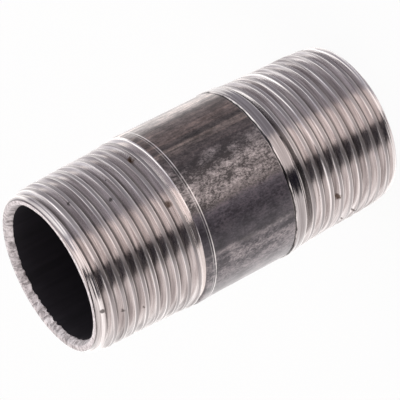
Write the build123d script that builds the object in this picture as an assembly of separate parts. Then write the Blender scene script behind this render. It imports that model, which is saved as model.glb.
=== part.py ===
from build123d import *
import math
import os

# One steel pipe nipple, standing on its end. The origin is the centre of the
# lower end face, and +Z is the axis of the pipe. Millimetres and degrees.

# The pipe it is cut from
pipe_diameter = 33.4
wall = 3.5
length = 67.2

# The taper thread, cut at both ends. Each turn of its groove is drawn as a
# closed ring with the thread's true section, spacing and taper.
millimetres_per_inch = 25.4
threads_per_inch = 11.5
taper = 1 / 16                # growth of the diameter for each unit of length
flank_angle = 60              # between the two sides of a groove
crest_setback = 0.9           # from the pipe's surface in to the crests, at the end face
crest_width = 0.8             # flat left between two grooves
first_groove = 1.9            # from the end face to the root of the first groove
thread_length = 22.3          # from the end face to the collar that the die pushed up
runout_depth = 0.6            # of the last groove, where the die stopped

# The collar of displaced steel between a thread and the plain pipe
collar_length = 2.7
collar_slope = 0.3            # length of the ramp on each side of the collar
lower_collar_height = 0.25
upper_collar_height = 0.1

# The ends, faced square, bevelled outside for starting and reamed inside
bevel_width = 1.3
bevel_angle = 30              # from the axis
ream_width = 0.7
ream_angle = 30               # from the axis

# How far a cutting shape reaches past the surface that it cuts
cutter_overshoot = 0.45

pipe_radius = pipe_diameter / 2
bore_radius = pipe_radius - wall
pitch = millimetres_per_inch / threads_per_inch
cone_slope = taper / 2
crest_radius = pipe_radius - crest_setback
flank_slope = math.tan(math.radians(flank_angle / 2))
thread_depth = (pitch - crest_width) / 2 / flank_slope
groove_count = 1 + math.floor((thread_length - first_groove) / pitch)


def section_face(corners):
    """Flat face in the plane of the axis, from its corners as radius and height."""
    return make_face((Plane.XZ * Polyline(*corners, close=True)).edges())


def wall_section(collar_height):
    """Half of the pipe's wall, its end turned, before the thread is cut."""
    bevel_slope = math.tan(math.radians(bevel_angle))
    ream_length = ream_width / math.tan(math.radians(ream_angle))
    # The bevel rises faster than the crests do, and ends where it meets them.
    bevel_length = bevel_width / (bevel_slope - cone_slope)
    collar_radius = pipe_radius + collar_height
    middle = length / 2
    return section_face([
        (bore_radius, ream_length),
        (bore_radius + ream_width, 0),
        (crest_radius - bevel_width, 0),
        (crest_radius + bevel_length * cone_slope, bevel_length),
        (crest_radius + thread_length * cone_slope, thread_length),
        (collar_radius, thread_length + collar_slope),
        (collar_radius, thread_length + collar_length - collar_slope),
        (pipe_radius, thread_length + collar_length),
        (pipe_radius, middle),
        (bore_radius, middle),
    ])


def groove_section(height, depth):
    """One turn of the groove: two flanks that meet in a sharp root, open past the crests."""
    root_radius = crest_radius + height * cone_slope - depth
    open_radius = root_radius + depth + cutter_overshoot
    half_opening = (open_radius - root_radius) * flank_slope
    return section_face([
        (root_radius, height),
        (open_radius, height - half_opening),
        (open_radius, height + half_opening),
    ])


def thread_sections():
    """Every turn of one thread: full grooves, then the shallow one where the die stopped."""
    heights = [first_groove + turn * pitch for turn in range(groove_count)]
    full = [groove_section(height, thread_depth) for height in heights[:-1]]
    return full + [groove_section(heights[-1], runout_depth)]


def threaded_end(collar_height):
    """Half of the nipple, turned about the axis with its end face at height 0."""
    return revolve(wall_section(collar_height) - thread_sections(), Axis.Z)


def nipple():
    """The nipple: one piece of pipe, with a thread cut in from each end."""
    lower = threaded_end(lower_collar_height)
    upper = Pos(Z=length) * Rot(X=180) * threaded_end(upper_collar_height)
    return lower + upper


part = nipple()
part.label = "nipple"
os.makedirs("parts", exist_ok=True)
export_step(part, "parts/nipple.step")
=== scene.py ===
# %% [markdown]
# # A threaded pipe nipple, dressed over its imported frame
#
# The nipple stands on its end, as it does on a shelf. This lesson keeps its real size and gives it the things
# that a CAD solid leaves out: the helix of each thread, ragged edges, turned and scaled steel, and studio
# light. Lengths in the cells are in millimetres, and are divided by 1000 where Blender wants metres.

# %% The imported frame
import bpy
import bmesh
import math
import numpy as np
from mathutils import Matrix, Vector


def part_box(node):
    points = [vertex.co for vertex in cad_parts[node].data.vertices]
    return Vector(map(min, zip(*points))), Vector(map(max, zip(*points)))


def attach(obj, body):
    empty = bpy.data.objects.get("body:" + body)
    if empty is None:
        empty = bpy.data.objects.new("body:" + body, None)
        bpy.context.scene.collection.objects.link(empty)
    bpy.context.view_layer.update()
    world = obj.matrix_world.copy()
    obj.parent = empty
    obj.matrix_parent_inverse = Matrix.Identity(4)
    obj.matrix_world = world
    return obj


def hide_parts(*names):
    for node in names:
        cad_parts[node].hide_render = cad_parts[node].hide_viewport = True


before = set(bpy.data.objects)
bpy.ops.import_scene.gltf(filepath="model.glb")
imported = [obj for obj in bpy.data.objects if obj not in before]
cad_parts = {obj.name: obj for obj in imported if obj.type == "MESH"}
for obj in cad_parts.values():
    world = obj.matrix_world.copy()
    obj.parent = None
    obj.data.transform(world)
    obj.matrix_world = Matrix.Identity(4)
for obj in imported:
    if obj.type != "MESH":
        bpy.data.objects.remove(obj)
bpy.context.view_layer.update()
node_low, node_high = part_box("nipple")
LENGTH = node_high[2] * 1000
print("nodes:", list(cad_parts), "from", round(node_low[2] * 1000, 2), "to", round(LENGTH, 2), "mm")

# %% [markdown]
# ## The measured sizes
#
# The pipe is 1 inch nominal, and its thread has 11.5 turns an inch. A die cut each thread separately, so the
# two ends start in different directions and reach different depths. Both are right-hand: a crest climbs by
# one pitch for each turn counted anticlockwise from above.

# %% Sizes in millimetres
PIPE_RADIUS = 16.7
BORE_RADIUS = 13.2
PITCH = 25.4 / 11.5
CONE_SLOPE = 1 / 32           # growth of the thread's radius for each unit of length
ROOT_AT_FACE = 14.55          # radius of the roots, at the end face
TAPER_AT_FACE = 15.85         # radius of the taper line, at the end face
THREAD_DEPTH = 1.2            # from the taper line to the roots, as the painted root shade sees it
ROOT_FLAT = 0.085
FLANK_SLOPE = math.tan(math.radians(30))
THREAD_REACH = 25.0           # from an end face to the plain band
REAM_RADIUS = 13.86
REAM_DEPTH = 1.2

# Height of one crest's middle, on the front: the side that azimuth 0 sees, three quarters of a turn from +X.
CREST_HEIGHT = {"lower": 7.42, "upper": 57.54}
FRONT = 0.75

# Distance from the end face at which the groove starts to climb out, and how fast it climbs.
RUNOUT_START = {"lower": 20.9, "upper": 21.0}
RUNOUT_CLIMB = 0.4

# Radius of the crests against the distance from the end face.
CREST_LINE = {
    "lower": (
        [0, 0.2, 1.03, 3.0, 5.2, 7.7, 13.5, 16.9, 21.85, 21.95, 22.25, 22.4, 22.6, 22.8, 23.0, 23.3, 23.6,
         23.8, 24.2, 24.45, 24.6, 24.7, 24.8, 24.95, 25.0],
        [14.7, 15.2, 15.6, 15.85, 15.95, 16.05, 16.15, 16.2, 16.5, 15.9, 15.9, 16.76, 16.84, 16.81, 16.82,
         16.86, 16.86, 16.83, 16.88, 16.91, 16.88, 16.62, 16.62, 16.7, 16.7]),
    "upper": (
        [0, 0.2, 1.03, 1.87, 2.7, 3.54, 6.55, 9.05, 13.56, 17.7, 20.2, 22.3, 23.2, 24.2, 25.0],
        [14.65, 15.13, 15.45, 15.61, 15.78, 15.9, 15.97, 16.03, 16.16, 16.3, 16.5, 16.74, 16.8, 16.76, 16.7]),
}
print("pitch:", round(PITCH, 3), "turns to the band:", round(THREAD_REACH / PITCH, 1))

# %% [markdown]
# ## The threads as a function of two parameters
#
# A thread could be modelled with Blender's Screw modifier, but its start, taper and run-out would then need
# boolean cuts. Here the outside is one function instead: radius from height and direction. The groove is a
# right-hand helix in that function, so the mesh has no cut and no joint.

# %% Groove
def ramp(value, start, end):
    """0 at start, 1 at end and a straight line between them, held outside: (value - start) / (end - start)."""
    return np.clip((value - start) / (end - start), 0, 1)


def turns_from_crest(height, angle, crest_height):
    """Height above a crest over the pitch, less the direction in turns, less the nearest whole number.
    It is 0 on the middle of a crest and 0.5 on a root."""
    turns = (height - crest_height) / PITCH - (angle / (2 * math.pi) - FRONT)
    return np.abs(turns - np.round(turns))


def groove_radius(distance, height, angle, end):
    """Root radius plus the rise of the flank (distance from the root line, less half the flat, over tan 30)
    plus the square of the distance into the run-out, where the last turn climbs out of the steel."""
    from_root = (0.5 - turns_from_crest(height, angle, CREST_HEIGHT[end])) * PITCH
    rise = np.maximum(from_root - ROOT_FLAT / 2, 0) / FLANK_SLOPE
    root = ROOT_AT_FACE + distance * CONE_SLOPE
    runout = np.maximum(distance - RUNOUT_START[end], 0)
    return root + rise + RUNOUT_CLIMB * runout ** 2


root_and_crest = CREST_HEIGHT["lower"] + np.array([0.5, 0]) * PITCH
print("groove radius on the front, at a root and at a crest:",
      np.round(groove_radius(root_and_crest, root_and_crest, FRONT * 2 * math.pi, "lower"), 2))

# %% [markdown]
# ## What the die and the tool left
#
# The real crests aren't clean. Their edges carry a thin lip of torn steel, the crest line wanders, the bevel
# has the rings of its cutting tool, and the upper thread was cut a little off the pipe's centre. All of it is
# added to the same function, because a Displace modifier would move the points off the crests they follow.

# %% Outside radius
CREST_SEED = {"lower": 3, "upper": 5}
LIP_SEED = {"lower": 9, "upper": 10}
WAVES = 9
WANDER = 0.012                # of a turned surface, for each unit of unevenness
MARK_SPACING = 0.42           # of the tool's rings on the bevel
MARK_HEIGHT = 0.025
CORNER = 0.02                 # over which a crest rounds into its flank
LIP_HEIGHT = 0.06
LIP_WANDER = 0.02             # of its height, for each unit of unevenness
LIP_WIDTH = 0.12
OFF_CENTRE = 0.09             # of the upper thread, towards -X
COLLAR_LIMIT = 0.24           # no part of the collar stands further out than this


def unevenness(height, angle, seed):
    """A few slow waves round and along the pipe, added up: the small wander of a worn die."""
    rng = np.random.default_rng(seed)
    total = np.zeros(np.broadcast(height, angle).shape)
    for _ in range(WAVES):
        around, along = rng.integers(1, 14), rng.uniform(0.2, 1.6)
        wave = np.sin(around * angle + along * height + rng.uniform(0, 2 * math.pi))
        total = total + wave / math.sqrt(WAVES)
    return total


def outside_radius(height, angle, end):
    """The lower of crest line and groove, by a soft minimum: crest plus half of (the gap between them less the
    root of (gap squared + corner squared)). The tool's rings are a sine on the bevel, and the lip is a bell
    curve over the gap."""
    distance = height if end == "lower" else LENGTH - height
    on_bevel = ramp(distance, 1.6, 1.3) * ramp(distance, 0, 0.2)
    tool_marks = MARK_HEIGHT * np.sin(2 * math.pi * distance / MARK_SPACING) * on_bevel
    crest = np.interp(distance, *CREST_LINE[end]) + WANDER * unevenness(height, angle, CREST_SEED[end])
    crest = crest + tool_marks
    gap = groove_radius(distance, height, angle, end) - crest
    radius = crest + 0.5 * (gap - np.sqrt(gap ** 2 + CORNER ** 2))
    lip = LIP_HEIGHT + LIP_WANDER * unevenness(height, angle, LIP_SEED[end])
    lip = lip * np.exp(-(gap / LIP_WIDTH) ** 2)
    radius = radius + lip * ramp(distance, 1.5, 2.5) * ramp(distance, 22, 21)
    if end == "upper":
        radius = radius - OFF_CENTRE * np.cos(angle) * ramp(distance, THREAD_REACH, 19)
    return np.minimum(radius, PIPE_RADIUS + COLLAR_LIMIT)


half_way = outside_radius(np.array([11.0, 12.1]), 0.0, "lower")
print("radius half way up the lower thread:", np.round(half_way, 2))

# %% [markdown]
# ## Rows that follow the helix
#
# Level rows would cut across the slanting crests and leave a saw edge. Each row therefore climbs one pitch in
# a turn and meets the row one pitch above it where it closes. Rows are crowded at the corners of the crest and
# at the root, where the shape turns. The bevel and the collar are turned rings, so there the rows are level.

# %% Grids
COLUMNS = 200
ANGLES = np.arange(COLUMNS) * 2 * math.pi / COLUMNS
HALF_ROWS = np.array([0.12, 0.145, 0.165, 0.185, 0.25, 0.37, 0.478])       # in turns from a crest
ROW_PHASES = np.concatenate([[-0.5], -HALF_ROWS[::-1], [0.0], HALF_ROWS])
BEVEL_REACH = 1.5             # distances from the end face between which the rows follow the helix
HELIX_REACH = 21.8


def thread_grid(end):
    """Points (row, column, xyz). Height is crest height plus pitch times (row + direction in turns), held to
    the range of the thread."""
    low, high = BEVEL_REACH, HELIX_REACH
    if end == "upper":
        low, high = LENGTH - HELIX_REACH, LENGTH - BEVEL_REACH
    first = math.floor((low - CREST_HEIGHT[end]) / PITCH) - 1
    last = math.ceil((high - CREST_HEIGHT[end]) / PITCH) + 2
    rows = (np.arange(first, last)[:, None] + ROW_PHASES).ravel()
    height = CREST_HEIGHT[end] + PITCH * (rows[:, None] + ANGLES / (2 * math.pi) - FRONT)
    height = np.clip(height, low, high)
    angle = np.broadcast_to(ANGLES, height.shape)
    radius = outside_radius(height, angle, end)
    return np.stack([radius * np.cos(angle), radius * np.sin(angle), height], axis=-1)


def level_grid(radii, heights):
    """Points of level rows, each with its own radius (a number, or one for each column) and height."""
    radius = np.stack([np.broadcast_to(r, COLUMNS) for r in radii])
    height = np.stack([np.broadcast_to(h, COLUMNS) for h in heights])
    return np.stack([radius * np.cos(ANGLES), radius * np.sin(ANGLES), height], axis=-1)


def outside_row(height, end):
    """The outside radius of every column at one height."""
    return outside_radius(np.full(COLUMNS, float(height)), ANGLES, end)


def ring_grid(end, near, far, count):
    """Level rows of the outside between two distances from the end face, from the lowest up."""
    distances = np.linspace(near, far, count)
    heights = np.sort(distances if end == "lower" else LENGTH - distances)
    return level_grid([outside_row(height, end) for height in heights], heights)


def grid_faces(rows, shift):
    """Quads between neighbouring rows and columns. The last column meets the first, shift rows further up."""
    row, column = np.meshgrid(np.arange(rows - 1 - shift), np.arange(COLUMNS), indexing="ij")
    wraps = column == COLUMNS - 1
    beside_row = row + np.where(wraps, shift, 0)
    beside = np.where(wraps, 0, column + 1)
    corners = [row * COLUMNS + column, beside_row * COLUMNS + beside,
               (beside_row + 1) * COLUMNS + beside, (row + 1) * COLUMNS + column]
    return np.stack(corners, axis=-1).reshape(-1, 4)


print("columns:", COLUMNS, "rows to a pitch:", len(ROW_PHASES))

# %% [markdown]
# ## The ends and the bore
#
# Each end was sawn, faced and then reamed inside with a cone. The reamer chattered, so both edges of the cone
# are lines of small teeth, worst on one side. A boolean cut would leave long thin triangles there. The level
# rows instead run in over the face, down the bore and out again, and only the teeth move them.

# %% Ends
REAM_SEED = {"lower": 11, "upper": 13}
CHATTERED_SIDE = 2.3          # radians anticlockwise from +X
SMOOTH_SHARE = 0.2            # size of the teeth on the good side, against the bad one


def teeth(seed):
    """A random step for each column, from -1 to 1, times the smooth share plus the cosine of the way to the
    chattered side."""
    steps = np.random.default_rng(seed).uniform(-1, 1, COLUMNS)
    return steps * (SMOOTH_SHARE + np.clip(np.cos(ANGLES - CHATTERED_SIDE), 0, 1))


def end_rows(face_height, inward, end):
    """Radii and heights from the outer edge of a face to the bore. inward is +1 or -1 along the axis."""
    seed = REAM_SEED[end]
    outer = outside_row(face_height, end)
    edge = REAM_RADIUS - 0.08 + 0.12 * teeth(seed) + 0.04 * unevenness(0.0, ANGLES, seed)
    rows = [
        (outer, 0.0),                                  # the bevel ends here
        (outer - 0.06, 0.0),                           # close behind it, so that the corner stays sharp
        ((outer + edge) / 2, 0.0),
        (edge + 0.05, 0.0),
        (edge, 0.03),                                  # the toothed edge of the cone
        (edge - 0.12, 0.28),
        (BORE_RADIUS + 0.12, REAM_DEPTH - 0.2),
        (BORE_RADIUS, REAM_DEPTH + 0.05 + 0.18 * teeth(seed + 1)),     # the cone meets the bore in teeth too
    ]
    return [radius for radius, _ in rows], [face_height + inward * depth for _, depth in rows]


top_radii, top_heights = end_rows(LENGTH, -1, "upper")
foot_radii, foot_heights = end_rows(0, 1, "lower")
CONE_START = 4                # the row at which the face ends and the cone starts
print("reamed edge of the top, smallest and largest radius:",
      np.round([top_radii[CONE_START].min(), top_radii[CONE_START].max()], 2))

# %% Bore, band and the list of surfaces
BAND_SEED = 7
BAND_ROWS, BEVEL_ROWS, COLLAR_ROWS = 26, 14, 33
bore_heights = [top_heights[-1], *np.linspace(LENGTH - 4, 4, 14), foot_heights[-1]]
band_heights = np.linspace(THREAD_REACH, LENGTH - THREAD_REACH, BAND_ROWS)
band_swell = np.sin(math.pi * np.arange(BAND_ROWS) / (BAND_ROWS - 1))      # 0 where it meets the collars
band_radii = [PIPE_RADIUS + WANDER * unevenness(height, ANGLES, BAND_SEED) * swell
              for height, swell in zip(band_heights, band_swell)]
band_radii[0] = outside_row(THREAD_REACH, "lower")
band_radii[-1] = outside_row(LENGTH - THREAD_REACH, "upper")

SURFACES = [
    ("lower bevel", ring_grid("lower", 0, BEVEL_REACH, BEVEL_ROWS), 0),
    ("lower thread", thread_grid("lower"), len(ROW_PHASES)),
    ("lower collar", ring_grid("lower", HELIX_REACH, THREAD_REACH, COLLAR_ROWS), 0),
    ("band", level_grid(band_radii, band_heights), 0),
    ("upper collar", ring_grid("upper", HELIX_REACH, THREAD_REACH, COLLAR_ROWS), 0),
    ("upper thread", thread_grid("upper"), len(ROW_PHASES)),
    ("upper bevel", ring_grid("upper", 0, BEVEL_REACH, BEVEL_ROWS), 0),
    ("top face", level_grid(top_radii[:CONE_START + 1], top_heights[:CONE_START + 1]), 0),
    ("top ream", level_grid(top_radii[CONE_START:], top_heights[CONE_START:]), 0),
    ("bore", level_grid([BORE_RADIUS] * len(bore_heights), bore_heights), 0),
    ("foot ream", level_grid(foot_radii[:CONE_START - 1:-1], foot_heights[:CONE_START - 1:-1]), 0),
    ("foot face", level_grid(foot_radii[CONE_START::-1], foot_heights[CONE_START::-1]), 0),
]
print("surfaces:", [(name, grid.shape[0]) for name, grid, _ in SURFACES])

# %% [markdown]
# ## One closed mesh
#
# The surfaces share the points where they meet, and the held rows lie on top of each other, so merging the
# doubles welds everything into one watertight skin. Each face keeps the number of its finish. A UV map holds
# the direction round the pipe and the height, because turned metal shines across its tool marks.

# %% Faces, finishes and UV map
TURNED, SCALE, FACED, BORE = range(4)
SKIN_STARTS = 22.4            # distance from the upper face, past which the collar keeps the pipe's own skin


def finish_of(name, centres):
    """The finish of each face: by surface, and past the upper thread's last groove the pipe's own skin."""
    plain = {"band": SCALE, "bore": BORE,
             "top face": FACED, "foot face": FACED, "top ream": FACED, "foot ream": FACED}
    kinds = np.full(len(centres), plain.get(name, TURNED))
    if name == "upper collar":
        kinds[LENGTH - centres[:, 2] > SKIN_STARTS] = SCALE
    return kinds


def around_map(quads, points):
    """UV of each face's corners: column over the number of columns, height over length. A face that closes the
    turn ends at 1, not at 0."""
    column = quads % COLUMNS
    closes = (column[:, [0]] == COLUMNS - 1) & (column == 0)
    column = np.where(closes, COLUMNS, column)
    return np.stack([column / COLUMNS, points[quads][..., 2] / LENGTH], axis=-1).reshape(-1, 2)


def gather(surfaces):
    """All grids in one, with each grid's faces counted from its own start: (points, faces, finishes, UV)."""
    points, faces, finishes, places = [], [], [], []
    start = 0
    for label, grid, shift in surfaces:
        quads = grid_faces(grid.shape[0], shift)
        flat = grid.reshape(-1, 3)
        points.append(flat)
        faces.append(quads + start)
        finishes.append(finish_of(label, flat[quads].mean(axis=1)))
        places.append(around_map(quads, flat))
        start += len(flat)
    return [np.concatenate(part) for part in (points, faces, finishes, places)]


skin_points, skin_faces, skin_finishes, skin_places = gather(SURFACES)
print("points:", len(skin_points), "faces:", len(skin_faces))

# %% The skin
MERGE_DISTANCE = 3e-6         # in metres, well under the closest rows


def weld(mesh):
    """Merges the points that coincide, drops the faces that close up, and counts edges without two faces."""
    work = bmesh.new()
    work.from_mesh(mesh)
    bmesh.ops.remove_doubles(work, verts=work.verts, dist=MERGE_DISTANCE)
    bmesh.ops.dissolve_degenerate(work, edges=work.edges, dist=1e-6)
    open_edges = sum(1 for edge in work.edges if len(edge.link_faces) != 2)
    work.to_mesh(mesh)
    work.free()
    return open_edges


nipple_mesh = bpy.data.meshes.new("nipple_skin")
nipple_mesh.from_pydata((skin_points / 1000).tolist(), [], skin_faces.tolist())
nipple_mesh.uv_layers.new(name="around").data.foreach_set("uv", skin_places.astype(np.float32).ravel())
nipple_mesh.polygons.foreach_set("material_index", skin_finishes.astype(np.int32))
open_edges = weld(nipple_mesh)
nipple_mesh.polygons.foreach_set("use_smooth", np.ones(len(nipple_mesh.polygons), dtype=bool))
nipple_mesh.calc_loop_triangles()
nipple_skin = bpy.data.objects.new("nipple_skin", nipple_mesh)
bpy.context.collection.objects.link(nipple_skin)
print("triangles:", len(nipple_mesh.loop_triangles), "open edges:", open_edges)

# %% [markdown]
# ## Where the painted root shade and the worn crests lie
#
# The roots are painted darker, as shade, and the crests stay dull. A material could find both by ambient
# occlusion, but that is slow and noisy. The mesh knows its own helix, so it stores two numbers at each point
# for the material.

# %% Point attributes
CREST_EDGE = (0.14, 0.12)     # in turns from a crest: where its flat ends, and where it is whole


def mark_depth(mesh):
    """Stores groove, the taper line less the radius over the thread's depth, and crest, 1 on a crest's flat."""
    place = np.empty(len(mesh.vertices) * 3, dtype=np.float32)
    mesh.vertices.foreach_get("co", place)
    x, y, height = place.reshape(-1, 3).T * 1000
    distance = np.minimum(height, LENGTH - height)
    groove = ramp(TAPER_AT_FACE + distance * CONE_SLOPE - np.hypot(x, y), 0, THREAD_DEPTH)
    crest_height = np.where(height < LENGTH / 2, CREST_HEIGHT["lower"], CREST_HEIGHT["upper"])
    crest = ramp(turns_from_crest(height, np.arctan2(y, x), crest_height), *CREST_EDGE)
    crest = crest * (distance > BEVEL_REACH) * (distance < HELIX_REACH)
    for name, value in (("groove", groove), ("crest", crest)):
        mesh.attributes.new(name, "FLOAT", "POINT").data.foreach_set("value", value.astype(np.float32))
        print(name, "is above a half at", round(100 * float((value > 0.5).mean())), "% of the points")


mark_depth(nipple_mesh)

# %% [markdown]
# ## Colours and nodes
#
# Colours are picked as they look on a screen and turned to linear light by one function. One helper adds a
# node, sets it and links it, so that each material below reads as a short recipe. Noise scales are counted in
# a metre: a scale of 1000 is a grain of 1 mm.

# %% Helpers
RGBA = {"data_type": "RGBA"}
MULTIPLIED = {"data_type": "RGBA", "blend_type": "MULTIPLY"}
TIMES = {"operation": "MULTIPLY"}
TIMES_PLUS = {"operation": "MULTIPLY_ADD"}
LARGER = {"operation": "MAXIMUM"}
ARCTANGENT = {"operation": "ARCTAN2"}


def linear(hex_colour):
    """sRGB hex to linear light: a channel over 12.92 when very dark, else ((c + 0.055) / 1.055) to the 2.4."""
    channels = [int(hex_colour[i:i + 2], 16) / 255 for i in (1, 3, 5)]
    return (*[c / 12.92 if c <= 0.04045 else ((c + 0.055) / 1.055) ** 2.4 for c in channels], 1.0)


def tones(*stops):
    """Colour stops in linear light, from pairs of a position and a hex colour."""
    return [(position, linear(hex_colour)) for position, hex_colour in stops]


def add(tree, kind, settings=None, stops=(), **inputs):
    """One node of this kind, with its properties, a ramp's colour stops, and inputs that are values or outputs.
    An input goes by its name, or by i and its number."""
    node = tree.nodes.new(kind)
    for name, value in (settings or {}).items():
        setattr(node, name, value)
    for _ in stops[2:]:
        node.color_ramp.elements.new(0.5)
    for index, (position, colour) in enumerate(stops):
        node.color_ramp.elements[index].position = position
        node.color_ramp.elements[index].color = (*colour[:3], 1.0)
    for name, value in inputs.items():
        numbered = name[0] == "i" and name[1:].isdigit()
        socket = node.inputs[int(name[1:]) if numbered else name.replace("_", " ")]
        if isinstance(value, bpy.types.NodeSocket):
            tree.links.new(value, socket)
        else:
            socket.default_value = value
    return node


def new_material(name):
    """An empty node material with this name: (material, its tree, object coordinates)."""
    material = bpy.data.materials.new(name)
    material.use_nodes = True
    material.node_tree.nodes.clear()
    place = add(material.node_tree, "ShaderNodeTexCoord").outputs["Object"]
    return material, material.node_tree, place


def ring(tree, height, at, half_width):
    """1 on a ring round the pipe at this height in mm, and 0 off it: 1 less distance over half its width."""
    away = add(tree, "ShaderNodeMath", {"operation": "SUBTRACT"}, i0=height, i1=at / 1000)
    size = add(tree, "ShaderNodeMath", {"operation": "ABSOLUTE"}, i0=away.outputs[0])
    return add(tree, "ShaderNodeMapRange", Value=size.outputs[0], From_Max=half_width / 1000,
               To_Min=1.0, To_Max=0.0).outputs[0]


def from_the_front(tree, vector):
    """The parts of a vector as seen from the front of the standing pipe: left is -x, forward is -y, up is z."""
    axes = add(tree, "ShaderNodeSeparateXYZ", Vector=vector)
    left = add(tree, "ShaderNodeMath", TIMES, i0=axes.outputs[0], i1=-1.0)
    front = add(tree, "ShaderNodeMath", TIMES, i0=axes.outputs[1], i1=-1.0)
    return left.outputs[0], front.outputs[0], axes.outputs[2]


print("a mid grey in linear light:", round(linear("#808080")[0], 3))

# %% [markdown]
# ## Turned steel
#
# A die cuts the threads in bare carbon steel and leaves fine marks round the pipe. Light spreads across the
# marks and stays sharp along them, so the reflection is stretched along the pipe: anisotropy does that.
# Modelled marks would need millions of faces, so noise that is drawn out round the pipe stands for them. The
# roots are painted darker and browner, as shade.

# %% Turned steel: tone and painted root shade
turned, tree, place = new_material("turned_carbon_steel")
# Tool marks about 0.3 mm apart round the pipe, as coarse as they need to be to show, and blotches of 4 mm.
marks = add(tree, "ShaderNodeMapping", Vector=place, Scale=(60, 60, 3200))
mark_noise = add(tree, "ShaderNodeTexNoise", Vector=marks.outputs[0], Scale=1.0, Detail=3.0, Roughness=0.6)
blotches = add(tree, "ShaderNodeTexNoise", Vector=place, Scale=260.0, Detail=4.0, Roughness=0.6)
groove = add(tree, "ShaderNodeAttribute", {"attribute_name": "groove"}).outputs["Fac"]
crest = add(tree, "ShaderNodeAttribute", {"attribute_name": "crest"}).outputs["Fac"]
steel_tone = add(tree, "ShaderNodeValToRGB", i0=mark_noise.outputs[0],
                 stops=tones((0.3, "#9E9796"), (0.5, "#CEC8C7"), (0.7, "#F0ECEB")))
# Painted shade: the roots are darkened towards a brown grey.
root_shade_amount = add(tree, "ShaderNodeMapRange", Value=groove, From_Min=0.78, From_Max=0.98, To_Max=0.8)
root_shaded_tone = add(tree, "ShaderNodeMix", RGBA, i0=root_shade_amount.outputs[0], i6=steel_tone.outputs[0], i7=linear("#3E3634"))
skinned = add(tree, "ShaderNodeMath", TIMES, i0=crest, i1=0.65)
crested = add(tree, "ShaderNodeMix", RGBA, i0=skinned.outputs[0], i6=root_shaded_tone.outputs[2], i7=linear("#7E7879"))
print("nodes for tone and grime:", len(tree.nodes))

# %% Turned steel: collar and last turn
# Painted shade fills the gap before the lower collar and darkens the ragged edge behind it.
heights = add(tree, "ShaderNodeSeparateXYZ", Vector=place).outputs[2]
ragged = add(tree, "ShaderNodeMath", TIMES_PLUS, i0=blotches.outputs[0], i1=0.0005, i2=heights).outputs[0]
collar_shade_rings = add(tree, "ShaderNodeMath", LARGER, i0=ring(tree, heights, 22.05, 0.45),
             i1=ring(tree, ragged, 25.03, 0.2))
collar_shade_amount = add(tree, "ShaderNodeMapRange", Value=collar_shade_rings.outputs[0], From_Max=0.5, To_Max=0.92)
dull = add(tree, "ShaderNodeMapRange", Value=ring(tree, heights, 23.6, 1.0), From_Max=0.15, To_Max=0.6)
collared = add(tree, "ShaderNodeMix", RGBA, i0=dull.outputs[0], i6=crested.outputs[2], i7=linear("#6E6869"))
# Painted shade: the two rings darken the steel towards near black.
collar_shaded_tone = add(tree, "ShaderNodeMix", RGBA, i0=collar_shade_amount.outputs[0], i6=collared.outputs[2], i7=linear("#1C191A"))
# The die tore the last shallow turn of the upper thread bright.
bright = add(tree, "ShaderNodeMapRange", Value=ring(tree, ragged, 45.6, 0.75), From_Max=0.4, To_Max=0.7)
bared = add(tree, "ShaderNodeMix", RGBA, i0=bright.outputs[0], i6=collar_shaded_tone.outputs[2], i7=linear("#F2EDEB"))
print("nodes with the collar:", len(tree.nodes))

# %% [markdown]
# ## Rust dots and stains
#
# A stored nipple rusts in dots. Each one is the distance to a point on the thread, turned to a mask, with
# noise that pulls its edge about. Dots painted on an image would need a file, and couldn't be read or moved.

# %% Turned steel: rust dots
SPECK_RADIUS = 15.7           # from the axis to the points that they are centred on
SPECK_CORE = 0.6              # share of a dot's radius inside which it is at full strength
FRAY = 0.0009                 # in metres: how far noise moves the edges, on average by half of it
# For each, its bearing in degrees to the left of the front, its height and radius in mm, and its colour.
SPECKS = [
    (-47.9, 47.9, 0.85, "#5E452C"), (-36.8, 62.7, 0.5, "#4A4442"), (-41.6, 54.4, 0.4, "#4A4442"),
    (-25.4, 56.0, 0.45, "#4A4442"), (-5.3, 47.7, 0.75, "#75685F"), (38.7, 66.0, 0.6, "#4A4442"),
    (46.0, 61.9, 0.45, "#4A4442"), (52.5, 57.7, 0.4, "#6A625E"), (46.5, 14.5, 0.8, "#4E3826"),
    (52.0, 15.6, 0.5, "#6B5A50"), (72.6, 9.5, 0.6, "#4C423E"), (78.0, 11.6, 0.5, "#5A4F4A"),
    (-73.8, 21.6, 0.5, "#3A3230"), (-146.0, 20.0, 0.5, "#4A3320"), (169.0, 51.0, 0.4, "#4A3320"),
]
fray_noise = add(tree, "ShaderNodeTexNoise", Vector=place, Scale=1400.0, Detail=2.0)
frayed_place = add(tree, "ShaderNodeMix", {"data_type": "VECTOR"}, i0=FRAY, i4=place,
                   i5=fray_noise.outputs["Color"])
turned_colour = bared.outputs[2]
for degrees, level, size, tint in SPECKS:
    leftward = math.radians(degrees)
    spot = (-SPECK_RADIUS * math.sin(leftward), -SPECK_RADIUS * math.cos(leftward), level)
    away = add(tree, "ShaderNodeVectorMath", {"operation": "DISTANCE"}, i0=frayed_place.outputs[1],
               i1=[c / 1000 + FRAY / 2 for c in spot])
    mask = add(tree, "ShaderNodeMapRange", Value=away.outputs["Value"], From_Min=SPECK_CORE * size / 1000,
               From_Max=size / 1000, To_Min=0.85, To_Max=0.0)
    dotted = add(tree, "ShaderNodeMix", RGBA, i0=mask.outputs[0], i6=turned_colour, i7=linear(tint))
    turned_colour = dotted.outputs[2]
print("specks:", len(SPECKS))

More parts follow.
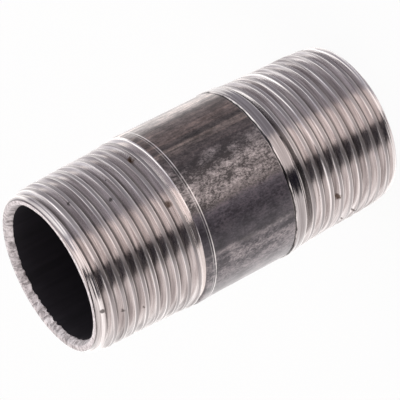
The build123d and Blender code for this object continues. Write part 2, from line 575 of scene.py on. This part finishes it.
# %% Turned steel: shader
# The crests are the torn skin of the pipe, duller than the flanks that the die has burnished.
polish = add(tree, "ShaderNodeMapRange", Value=crest, To_Min=0.2, To_Max=0.42)
turned_bump = add(tree, "ShaderNodeBump", Strength=0.6, Distance=0.00005, Height=mark_noise.outputs[0])
round_pipe = add(tree, "ShaderNodeTangent", {"direction_type": "UV_MAP", "uv_map": "around"})
turned_shader = add(tree, "ShaderNodeBsdfPrincipled", Base_Color=turned_colour, Metallic=1.0,
                    Roughness=polish.outputs[0], Anisotropic=0.7, Anisotropic_Rotation=0.25,
                    Normal=turned_bump.outputs[0], Tangent=round_pipe.outputs[0])
add(tree, "ShaderNodeOutputMaterial", Surface=turned_shader.outputs[0])
print(turned.name, "nodes:", len(tree.nodes))

# %% [markdown]
# ## Mill scale
#
# The band keeps the blue-black oxide of the hot mill. It is smooth and dark, drawn out in streaks along the
# pipe, brown where it has begun to rust and grey where it has been rubbed through. Noise alone would scatter
# these evenly, so a colour ramp places them by the direction round the pipe: the arctangent of x and y. The
# same ramp paints a pale sheen on the side to the right of the front.

# %% Mill scale: zones and painted sheen
scale, tree, place = new_material("mill_scale")
left, front, heights = from_the_front(tree, place)
bearing = add(tree, "ShaderNodeMath", ARCTANGENT, i0=left, i1=front)
wander = add(tree, "ShaderNodeTexNoise", Vector=place, Scale=260.0, Detail=6.0, Roughness=0.65)
# Noise of 4 mm moves the edges of the zones by 0.12 radians. 0.4905 takes its average off the half turn.
shifted = add(tree, "ShaderNodeMath", TIMES_PLUS, i0=wander.outputs[0], i1=0.12, i2=bearing.outputs[0])
turn = add(tree, "ShaderNodeMath", TIMES_PLUS, i0=shifted.outputs[0], i1=1 / math.tau, i2=0.4905).outputs[0]
# The pale stops from 0.262 to 0.33, to the right of the front, are a painted sheen over the scale.
zones_and_sheen = add(tree, "ShaderNodeValToRGB", i0=turn, stops=tones(
    (0.0, "#353133"), (0.21, "#353133"), (0.262, "#BCB6B5"), (0.315, "#A09997"), (0.33, "#847A77"),
    (0.334, "#302826"), (0.342, "#685C58"), (0.375, "#5C504C"), (0.395, "#3A3230"), (0.405, "#7A6F6A"),
    (0.412, "#443C3B"), (0.43, "#3E3738"), (0.455, "#403A3B"), (0.52, "#403A3B"), (0.53, "#57525B"),
    (0.6, "#343037"), (0.607, "#726D70"), (0.612, "#3C383F"), (0.66, "#5E5A60"), (0.7, "#747074"),
    (0.74, "#8C888B"), (0.79, "#353133"), (1.0, "#353133")))
print("zones round the band:", len(zones_and_sheen.color_ramp.elements))

# %% Mill scale: wear
# Wear grain 0.1 to 0.5 mm across, in clouds of 2 mm, drawn out a little along the pipe.
grain_space = add(tree, "ShaderNodeMapping", Vector=place, Scale=(1, 1, 0.6))
grain = add(tree, "ShaderNodeTexNoise", Vector=grain_space.outputs[0], Scale=3200.0, Detail=6.0, Roughness=0.75)
cloud = add(tree, "ShaderNodeTexNoise", Vector=grain_space.outputs[0], Scale=420.0, Detail=5.0, Roughness=0.7)
# How much of the scale is worn off, against the direction in turns.
WORN = [(0.0, 0.2), (0.37, 0.15), (0.48, 0.1), (0.51, 0.9), (0.555, 1.0), (0.575, 0.08), (0.65, 0.06),
        (0.675, 0.6), (0.71, 0.5), (0.74, 0.2), (1.0, 0.2)]
loose = add(tree, "ShaderNodeMath", TIMES_PLUS, i0=cloud.outputs[0], i1=0.09, i2=turn)
worn_zone = add(tree, "ShaderNodeValToRGB", i0=loose.outputs[0],
                stops=[(position, (amount, amount, amount)) for position, amount in WORN])
patches = add(tree, "ShaderNodeMath", TIMES, i0=grain.outputs[0], i1=cloud.outputs[0]).outputs[0]
grain_step = add(tree, "ShaderNodeMapRange", Value=patches, From_Min=0.2, From_Max=0.36)
worn = add(tree, "ShaderNodeMath", TIMES, i0=worn_zone.outputs[0], i1=grain_step.outputs[0])
print("steps of wear:", len(WORN))

# %% Mill scale: streaks and mottle
# The rolls drew streaks 0.8 mm wide and about 30 mm long, strongest in the brown part.
streaks = add(tree, "ShaderNodeMapping", Vector=place, Scale=(1300, 1300, 35))
streak_noise = add(tree, "ShaderNodeTexNoise", Vector=streaks.outputs[0], Scale=1.0, Detail=5.0, Roughness=0.7)
streak_tone = add(tree, "ShaderNodeValToRGB", i0=streak_noise.outputs[0],
                  stops=[(0.32, (0.28, 0.25, 0.24)), (0.5, (0.95, 0.95, 0.95)), (0.66, (1.9, 1.8, 1.7))])
streaky = add(tree, "ShaderNodeMapRange", Value=turn, From_Min=0.41, From_Max=0.44, To_Min=0.85, To_Max=0.3)
streaked = add(tree, "ShaderNodeMix", MULTIPLIED, i0=streaky.outputs[0], i6=zones_and_sheen.outputs[0],
               i7=streak_tone.outputs[0])
mottle = add(tree, "ShaderNodeValToRGB", i0=patches,
             stops=[(0.17, (0.5, 0.47, 0.46)), (0.25, (1.0, 1.0, 1.0)), (0.34, (1.8, 1.7, 1.65))])
mottled = add(tree, "ShaderNodeMix", MULTIPLIED, i0=0.8, i6=streaked.outputs[2], i7=mottle.outputs[0])
scale_colour = add(tree, "ShaderNodeMix", RGBA, i0=worn.outputs[0], i6=mottled.outputs[2], i7=linear("#B9B0AF"))
print("nodes with streaks and mottle:", len(tree.nodes))

# %% Mill scale: bright rings and shader
# A die face and a chuck each rubbed a bright ring through the scale.
faint = add(tree, "ShaderNodeMath", TIMES, i0=ring(tree, heights, 43.25, 0.1), i1=0.4)
bright_ring = add(tree, "ShaderNodeMath", LARGER, i0=ring(tree, heights, 42.75, 0.14), i1=faint.outputs[0])
broken = add(tree, "ShaderNodeMapRange", Value=wander.outputs[0], From_Min=0.38, From_Max=0.5, To_Min=0.35)
rubbed = add(tree, "ShaderNodeMath", TIMES, i0=bright_ring.outputs[0], i1=broken.outputs[0])
ringed = add(tree, "ShaderNodeMix", RGBA, i0=rubbed.outputs[0], i6=scale_colour.outputs[2],
             i7=linear("#FFFBF9"))
scale_metal = add(tree, "ShaderNodeMath", LARGER, i0=rubbed.outputs[0], i1=0.6)
scale_rough = add(tree, "ShaderNodeMapRange", Value=grain.outputs[0], From_Min=0.3, From_Max=0.7,
                  To_Min=0.26, To_Max=0.46)
scale_bump = add(tree, "ShaderNodeBump", Strength=0.5, Distance=0.00004, Height=patches)
# Iron oxide bends light far more than glass or paint, so scale shines even where it is black.
scale_shader = add(tree, "ShaderNodeBsdfPrincipled", Base_Color=ringed.outputs[2], IOR=1.9,
                   Metallic=scale_metal.outputs[0], Roughness=scale_rough.outputs[0],
                   Normal=scale_bump.outputs[0])
add(tree, "ShaderNodeOutputMaterial", Surface=scale_shader.outputs[0])
print(scale.name, "nodes:", len(tree.nodes))

# %% [markdown]
# ## Faced end and scaled bore
#
# The end faces were sawn and faced, which leaves a dull pale grain. The reamer tore chips out of them on one
# side. Chips cut into the mesh would be finer than its columns, so they are noise in polar coordinates, dark
# and sunken. The bore keeps its scale, and no light reaches far into it, so it is painted near black: its
# scale with painted shade.

# %% Faced end
faced, tree, place = new_material("faced_steel")
face_grain = add(tree, "ShaderNodeTexNoise", Vector=place, Scale=1500.0, Detail=5.0, Roughness=0.7)
face_tone = add(tree, "ShaderNodeValToRGB", i0=face_grain.outputs[0],
                stops=tones((0.32, "#938B8C"), (0.46, "#D6CFD0"), (0.66, "#F2EDEE")))
# Chips about 1 mm apart that run out from the bore: 17 to a radian, and hardly any change outwards.
left, front, _ = from_the_front(tree, place)
around = add(tree, "ShaderNodeMath", ARCTANGENT, i0=front, i1=left)
spread = add(tree, "ShaderNodeMath", TIMES, i0=around.outputs[0], i1=17.0)
reach = add(tree, "ShaderNodeVectorMath", {"operation": "LENGTH"}, i0=place)
along = add(tree, "ShaderNodeMath", TIMES, i0=reach.outputs["Value"], i1=350.0)
polar = add(tree, "ShaderNodeCombineXYZ", X=spread.outputs[0], Y=along.outputs[0])
chips = add(tree, "ShaderNodeTexNoise", Vector=polar.outputs[0], Scale=1.0, Detail=3.0, Roughness=0.6)
torn_side = add(tree, "ShaderNodeMapRange", Value=front, From_Min=0.002, From_Max=-0.006)
hollow = add(tree, "ShaderNodeMapRange", Value=chips.outputs[0], From_Min=0.42, From_Max=0.52,
             To_Min=1.0, To_Max=0.0)
torn = add(tree, "ShaderNodeMath", TIMES, i0=hollow.outputs[0], i1=torn_side.outputs[0]).outputs[0]
torn_part = add(tree, "ShaderNodeMath", TIMES, i0=torn, i1=0.55)
chipped = add(tree, "ShaderNodeMix", RGBA, i0=torn_part.outputs[0], i6=face_tone.outputs[0],
              i7=linear("#5E5658"))
relief = add(tree, "ShaderNodeMath", TIMES_PLUS, i0=torn, i1=-1.5, i2=face_grain.outputs[0])
face_bump = add(tree, "ShaderNodeBump", Strength=0.8, Distance=0.00008, Height=relief.outputs[0])
face_shader = add(tree, "ShaderNodeBsdfPrincipled", Base_Color=chipped.outputs[2], Metallic=0.6, Roughness=0.45,
                  Normal=face_bump.outputs[0])
add(tree, "ShaderNodeOutputMaterial", Surface=face_shader.outputs[0])
print(faced.name, "nodes:", len(tree.nodes))

# %% Scaled and shaded bore
# Streaks 1.4 mm wide and 25 mm long.
bore, tree, place = new_material("scaled_and_shaded_bore")
bore_streaks = add(tree, "ShaderNodeMapping", Vector=place, Scale=(700, 700, 40))
bore_noise = add(tree, "ShaderNodeTexNoise", Vector=bore_streaks.outputs[0], Scale=1.0, Detail=3.0)
# Painted shade: the bore's scale is painted nearly black, darker than the scale on the band.
bore_scale_and_shade = add(tree, "ShaderNodeValToRGB", i0=bore_noise.outputs[0],
                stops=tones((0.35, "#1B191E"), (0.7, "#232026")))
bore_shader = add(tree, "ShaderNodeBsdfPrincipled", Base_Color=bore_scale_and_shade.outputs[0], Roughness=0.75,
                  Specular_IOR_Level=0.2)
add(tree, "ShaderNodeOutputMaterial", Surface=bore_shader.outputs[0])

# The order is that of TURNED, SCALE, FACED and BORE.
for material in (turned, scale, faced, bore):
    nipple_mesh.materials.append(material)
print("finishes:", [material.name for material in nipple_mesh.materials])

# %% [markdown]
# ## Joining the frame
#
# The skin stands for the CAD node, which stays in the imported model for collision. It rides on the root body,
# because the nipple has no moving part.

# %% Frame
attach(nipple_skin, "root")
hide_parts("nipple")

# %% [markdown]
# ## Floor
#
# The photograph was cut out on white. The floor is a pale sheet that shows as white to the camera, with a part
# of its true light left in, so that the nipple still stands in a soft shadow. A glossy ray passes it by,
# because the metal would otherwise show only the sheet, and not the lit room beyond it.

# %% Floor
FLOOR_REACH = 8               # in metres, so that its edge lies beyond the picture
GLOW_SHARE = 0.92             # of what the camera sees; the rest is light that the sheet really throws back
corners = [(-FLOOR_REACH, -FLOOR_REACH, 0), (FLOOR_REACH, -FLOOR_REACH, 0), (FLOOR_REACH, FLOOR_REACH, 0),
           (-FLOOR_REACH, FLOOR_REACH, 0)]
floor_mesh = bpy.data.meshes.new("floor")
floor_mesh.from_pydata(corners, [], [(0, 1, 2, 3)])
floor = bpy.data.objects.new("floor", floor_mesh)
bpy.context.collection.objects.link(floor)
paper, tree, _ = new_material("white_paper")
path = add(tree, "ShaderNodeLightPath").outputs
shown = add(tree, "ShaderNodeMath", LARGER, i0=path["Is Camera Ray"], i1=path["Is Glossy Ray"])
shown = add(tree, "ShaderNodeMath", LARGER, i0=shown.outputs[0], i1=path["Is Transmission Ray"])
glowing = add(tree, "ShaderNodeMath", TIMES, i0=shown.outputs[0], i1=GLOW_SHARE)
matt = add(tree, "ShaderNodeBsdfDiffuse", Color=linear("#F2F2F2"))
glow = add(tree, "ShaderNodeEmission", Color=(1, 1, 1, 1), Strength=1.0)
sheet = add(tree, "ShaderNodeMixShader", i0=glowing.outputs[0], i1=matt.outputs[0], i2=glow.outputs[0])
add(tree, "ShaderNodeOutputMaterial", Surface=sheet.outputs[0])
floor_mesh.materials.append(paper)
floor.visible_glossy = False
print("floor is", 2 * FLOOR_REACH, "m across")

# %% [markdown]
# ## Studio light
#
# The nipple was lit by a wide lamp in front, with a black card to the viewer's left of it, a grey wall to the
# right and bright walls beyond both. Metal in the grooves throws what it sees back at the height of the
# camera, so what counts is the bearing of a direction: its arctangent of x and y. Overhead, the same lamps
# lean over the nipple, and there what counts is how far a direction leans to the side. Area lamps would give
# soft highlights, while a world of flat colours gives the sharp bands that the photograph shows.

# %% Walls and ceiling
WARM, COOL, BLACK = (1.42, 1.3, 1.27), (0.53, 0.515, 0.57), (0.022, 0.02, 0.032)
PALE, WHITE = (1.32, 1.26, 1.25), (1.6, 1.58, 1.57)
# Bearing in degrees, to the left of the front, and what stands there.
WALLS = [(-180, WHITE), (-129, WHITE), (-118, COOL), (-29, COOL), (-27, WARM), (19, WARM), (22, BLACK),
         (53, BLACK), (58, PALE), (115, PALE), (145, WHITE), (180, WHITE)]
# Lean to the right, from -1 to 1, and what hangs there.
OVERHEAD = [(-1.0, PALE), (-0.5, PALE), (-0.37, BLACK), (-0.155, BLACK), (-0.135, WARM), (0.185, WARM),
            (0.205, COOL), (0.5, COOL), (0.6, WHITE), (1.0, WHITE)]

world = bpy.data.worlds.new("studio")
bpy.context.scene.world = world
world.use_nodes = True
tree = world.node_tree
tree.nodes.clear()
direction = add(tree, "ShaderNodeTexCoord").outputs["Generated"]
sideways = add(tree, "ShaderNodeSeparateXYZ", Vector=direction).outputs[0]
left, front, upward = from_the_front(tree, direction)
bearing = add(tree, "ShaderNodeMath", ARCTANGENT, i0=left, i1=front)
turn = add(tree, "ShaderNodeMath", TIMES_PLUS, i0=bearing.outputs[0], i1=1 / (2 * math.pi), i2=0.5)
walls = add(tree, "ShaderNodeValToRGB", i0=turn.outputs[0],
            stops=[(degrees / 360 + 0.5, colour) for degrees, colour in WALLS])
lean = add(tree, "ShaderNodeMath", TIMES_PLUS, i0=sideways, i1=0.5, i2=0.5)
ceiling = add(tree, "ShaderNodeValToRGB", i0=lean.outputs[0],
              stops=[((x + 1) / 2, colour) for x, colour in OVERHEAD])
above = add(tree, "ShaderNodeMapRange", Value=upward, From_Min=0.1, From_Max=0.5)
studio = add(tree, "ShaderNodeMix", RGBA, i0=above.outputs[0], i6=walls.outputs[0], i7=ceiling.outputs[0])
print("walls:", len(WALLS), "overhead:", len(OVERHEAD))

# %% Backdrop
# The camera sees plain white beyond the nipple, and the metal sees the studio.
to_camera = add(tree, "ShaderNodeLightPath").outputs["Is Camera Ray"]
seen = add(tree, "ShaderNodeMix", RGBA, i0=to_camera, i6=studio.outputs[2], i7=(1, 1, 1, 1))
backdrop = add(tree, "ShaderNodeBackground", Color=seen.outputs[2], Strength=1.0)
add(tree, "ShaderNodeOutputWorld", Surface=backdrop.outputs[0])
bpy.context.scene.view_settings.view_transform = "Standard"
print("world nodes:", len(tree.nodes))

# %% [markdown]
# ## Camera
#
# The outline in the photograph fixes the camera: it looks 25 degrees down at the middle of the pipe from
# 447 mm, through a long lens. The camera is then rolled, so that the standing pipe points to the lower left.
# Turning the pipe instead would take it off its floor and out of its frame.

# %% Camera
DISTANCE, ELEVATION, ROLL = 447.3, math.radians(25.13), math.radians(-117.4)
camera = bpy.data.objects.new("camera", bpy.data.cameras.new("camera"))
bpy.context.collection.objects.link(camera)
outward = Vector((0, -math.cos(ELEVATION), math.sin(ELEVATION)))
aim = (-outward).to_track_quat("-Z", "Y").to_matrix().to_4x4()
stand = Vector((0, 0, LENGTH / 2)) + outward * DISTANCE
camera.matrix_world = Matrix.Translation(stand / 1000) @ aim @ Matrix.Rotation(ROLL, 4, "Z")
camera.data.sensor_width = 36
camera.data.lens = 221.1
camera.data.shift_x = -0.004
camera.data.shift_y = -0.0093
camera.data.clip_start, camera.data.clip_end = 0.01, 50
bpy.context.scene.camera = camera
print("camera at, in mm:", [round(v, 1) for v in stand])
